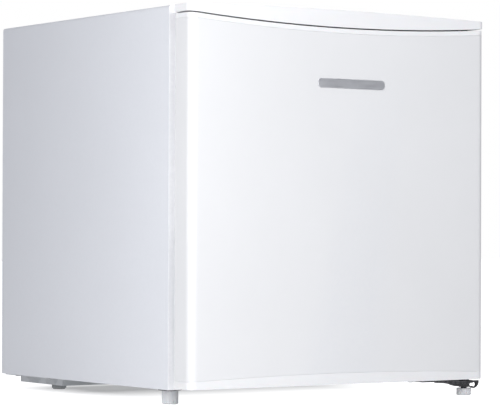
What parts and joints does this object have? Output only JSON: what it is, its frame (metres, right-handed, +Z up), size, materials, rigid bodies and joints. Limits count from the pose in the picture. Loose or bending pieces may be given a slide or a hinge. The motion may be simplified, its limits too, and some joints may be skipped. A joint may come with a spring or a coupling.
{
  "type": "mini fridge",
  "caption": "Table-top mini fridge with one right-hinged door, ice box, sliding shelf and drip tray, door racks, thermostat and rear compressor.",
  "frame": {"origin": "on the floor under the middle of the closed fridge: the centre of its bounding box in plan, at the bottom of the feet", "axes": "+Z up, -Y out of the door towards the user, +X to the user's right, which is the hinge side"},
  "size_m": [0.47, 0.4818, 0.5025],
  "materials": {
    "white_steel": "satin",
    "door_white": "gloss",
    "galvanised": "satin",
    "white_plastic": "satin",
    "liner_white": "gloss",
    "clear_plastic": "gloss",
    "foam": "matte",
    "black_steel": "satin",
    "zinc": "satin",
    "pin_steel": "satin",
    "grey_plastic": "matte",
    "foot_white": "matte",
    "black_plastic": "matte",
    "black_rubber": "matte",
    "gasket_grey": "matte",
    "magnet": "matte",
    "copper": "satin",
    "evaporator_aluminium": "satin",
    "white_wire": "gloss",
    "badge_grey": "satin"
  },
  "bodies": {
    "cabinet": {"cabinet_shell": "white_steel", "base_panel": "galvanised", "bay_panel": "galvanised", "back_panel": "white_steel", "inner_liner": "liner_white", "cabinet_foam": "foam", "top_fascia": "white_plastic", "fascia_screws": "zinc", "upper_hinge_bracket": "black_steel", "upper_hinge_screws": "zinc", "upper_hinge_pin": "pin_steel", "lower_hinge_bracket": "black_steel", "lower_bracket_screws": "zinc", "lower_hinge_pin": "black_steel", "hinge_lock_nut": "black_steel", "left_foot_plate": "black_steel", "foot_plate_screws": "zinc", "rear_glides": "grey_plastic", "compressor_tray": "galvanised", "tray_screws": "zinc", "compressor": "black_steel", "compressor_grommets": "black_rubber", "compressor_bolts": "zinc", "relay_cover": "black_plastic", "cord_gland": "black_rubber", "condenser_tube": "black_steel", "condenser_wires": "black_steel", "condenser_brackets": "black_plastic", "condenser_screws": "zinc", "connecting_pipes": "copper", "filter_drier": "copper", "capillary_tube": "copper", "suction_tube": "copper", "evaporator": "evaporator_aluminium", "evaporator_spacers": "white_plastic", "evaporator_screws": "zinc", "icebox_frame": "white_plastic", "drip_tray_rails": "white_plastic", "thermostat_housing": "white_plastic", "thermostat_switch": "black_plastic", "thermostat_bulb": "copper"},
    "door": {"door_skin": "door_white", "door_top_cap": "white_plastic", "door_bottom_cap": "white_plastic", "door_foam": "foam", "door_liner": "liner_white", "door_gasket": "gasket_grey", "gasket_magnets": "magnet", "upper_door_bush": "white_plastic", "lower_door_bush": "white_plastic", "upper_rack": "clear_plastic", "lower_rack": "clear_plastic", "badge": "badge_grey"},
    "icebox_flap_body": {"icebox_flap": "clear_plastic"},
    "drip_tray_body": {"drip_tray": "clear_plastic"},
    "shelf": {"wire_shelf": "white_wire"},
    "knob": {"thermostat_knob": "white_plastic"},
    "left_foot": {"left_front_foot": "foot_white", "left_foot_stud": "pin_steel"},
    "right_foot": {"right_front_foot": "foot_white"}
  },
  "joints": [
    {"name": "door_hinge", "type": "hinge", "parent": "cabinet", "child": "door", "pos_m": [0.218, -0.2166, 0.25], "axis": [0, 0, 1], "range_deg": [0, 125]},
    {"name": "icebox_flap_hinge", "type": "hinge", "parent": "cabinet", "child": "icebox_flap_body", "pos_m": [-0.06, -0.0691, 0.444], "axis": [-1, 0, 0], "range_deg": [0, 85]},
    {"name": "thermostat_knob_turn", "type": "hinge", "parent": "cabinet", "child": "knob", "pos_m": [0.138, -0.0791, 0.436], "axis": [0, 1, 0], "range_deg": [0, 280]},
    {"name": "drip_tray_slide", "type": "slide", "parent": "cabinet", "child": "drip_tray_body", "axis": [0, -1, 0], "range_m": [0, 0.1]},
    {"name": "shelf_slide", "type": "slide", "parent": "cabinet", "child": "shelf", "axis": [0, -1, 0], "range_m": [0, 0.09]},
    {"name": "left_foot_turn", "type": "hinge", "parent": "cabinet", "child": "left_foot", "pos_m": [-0.21, -0.1571, 0.01], "axis": [0, 0, 1], "range_deg": [0, 2880]},
    {"name": "right_foot_turn", "type": "hinge", "parent": "cabinet", "child": "right_foot", "pos_m": [0.218, -0.2166, 0.005], "axis": [0, 0, 1], "range_deg": [0, 2880]}
  ]
}
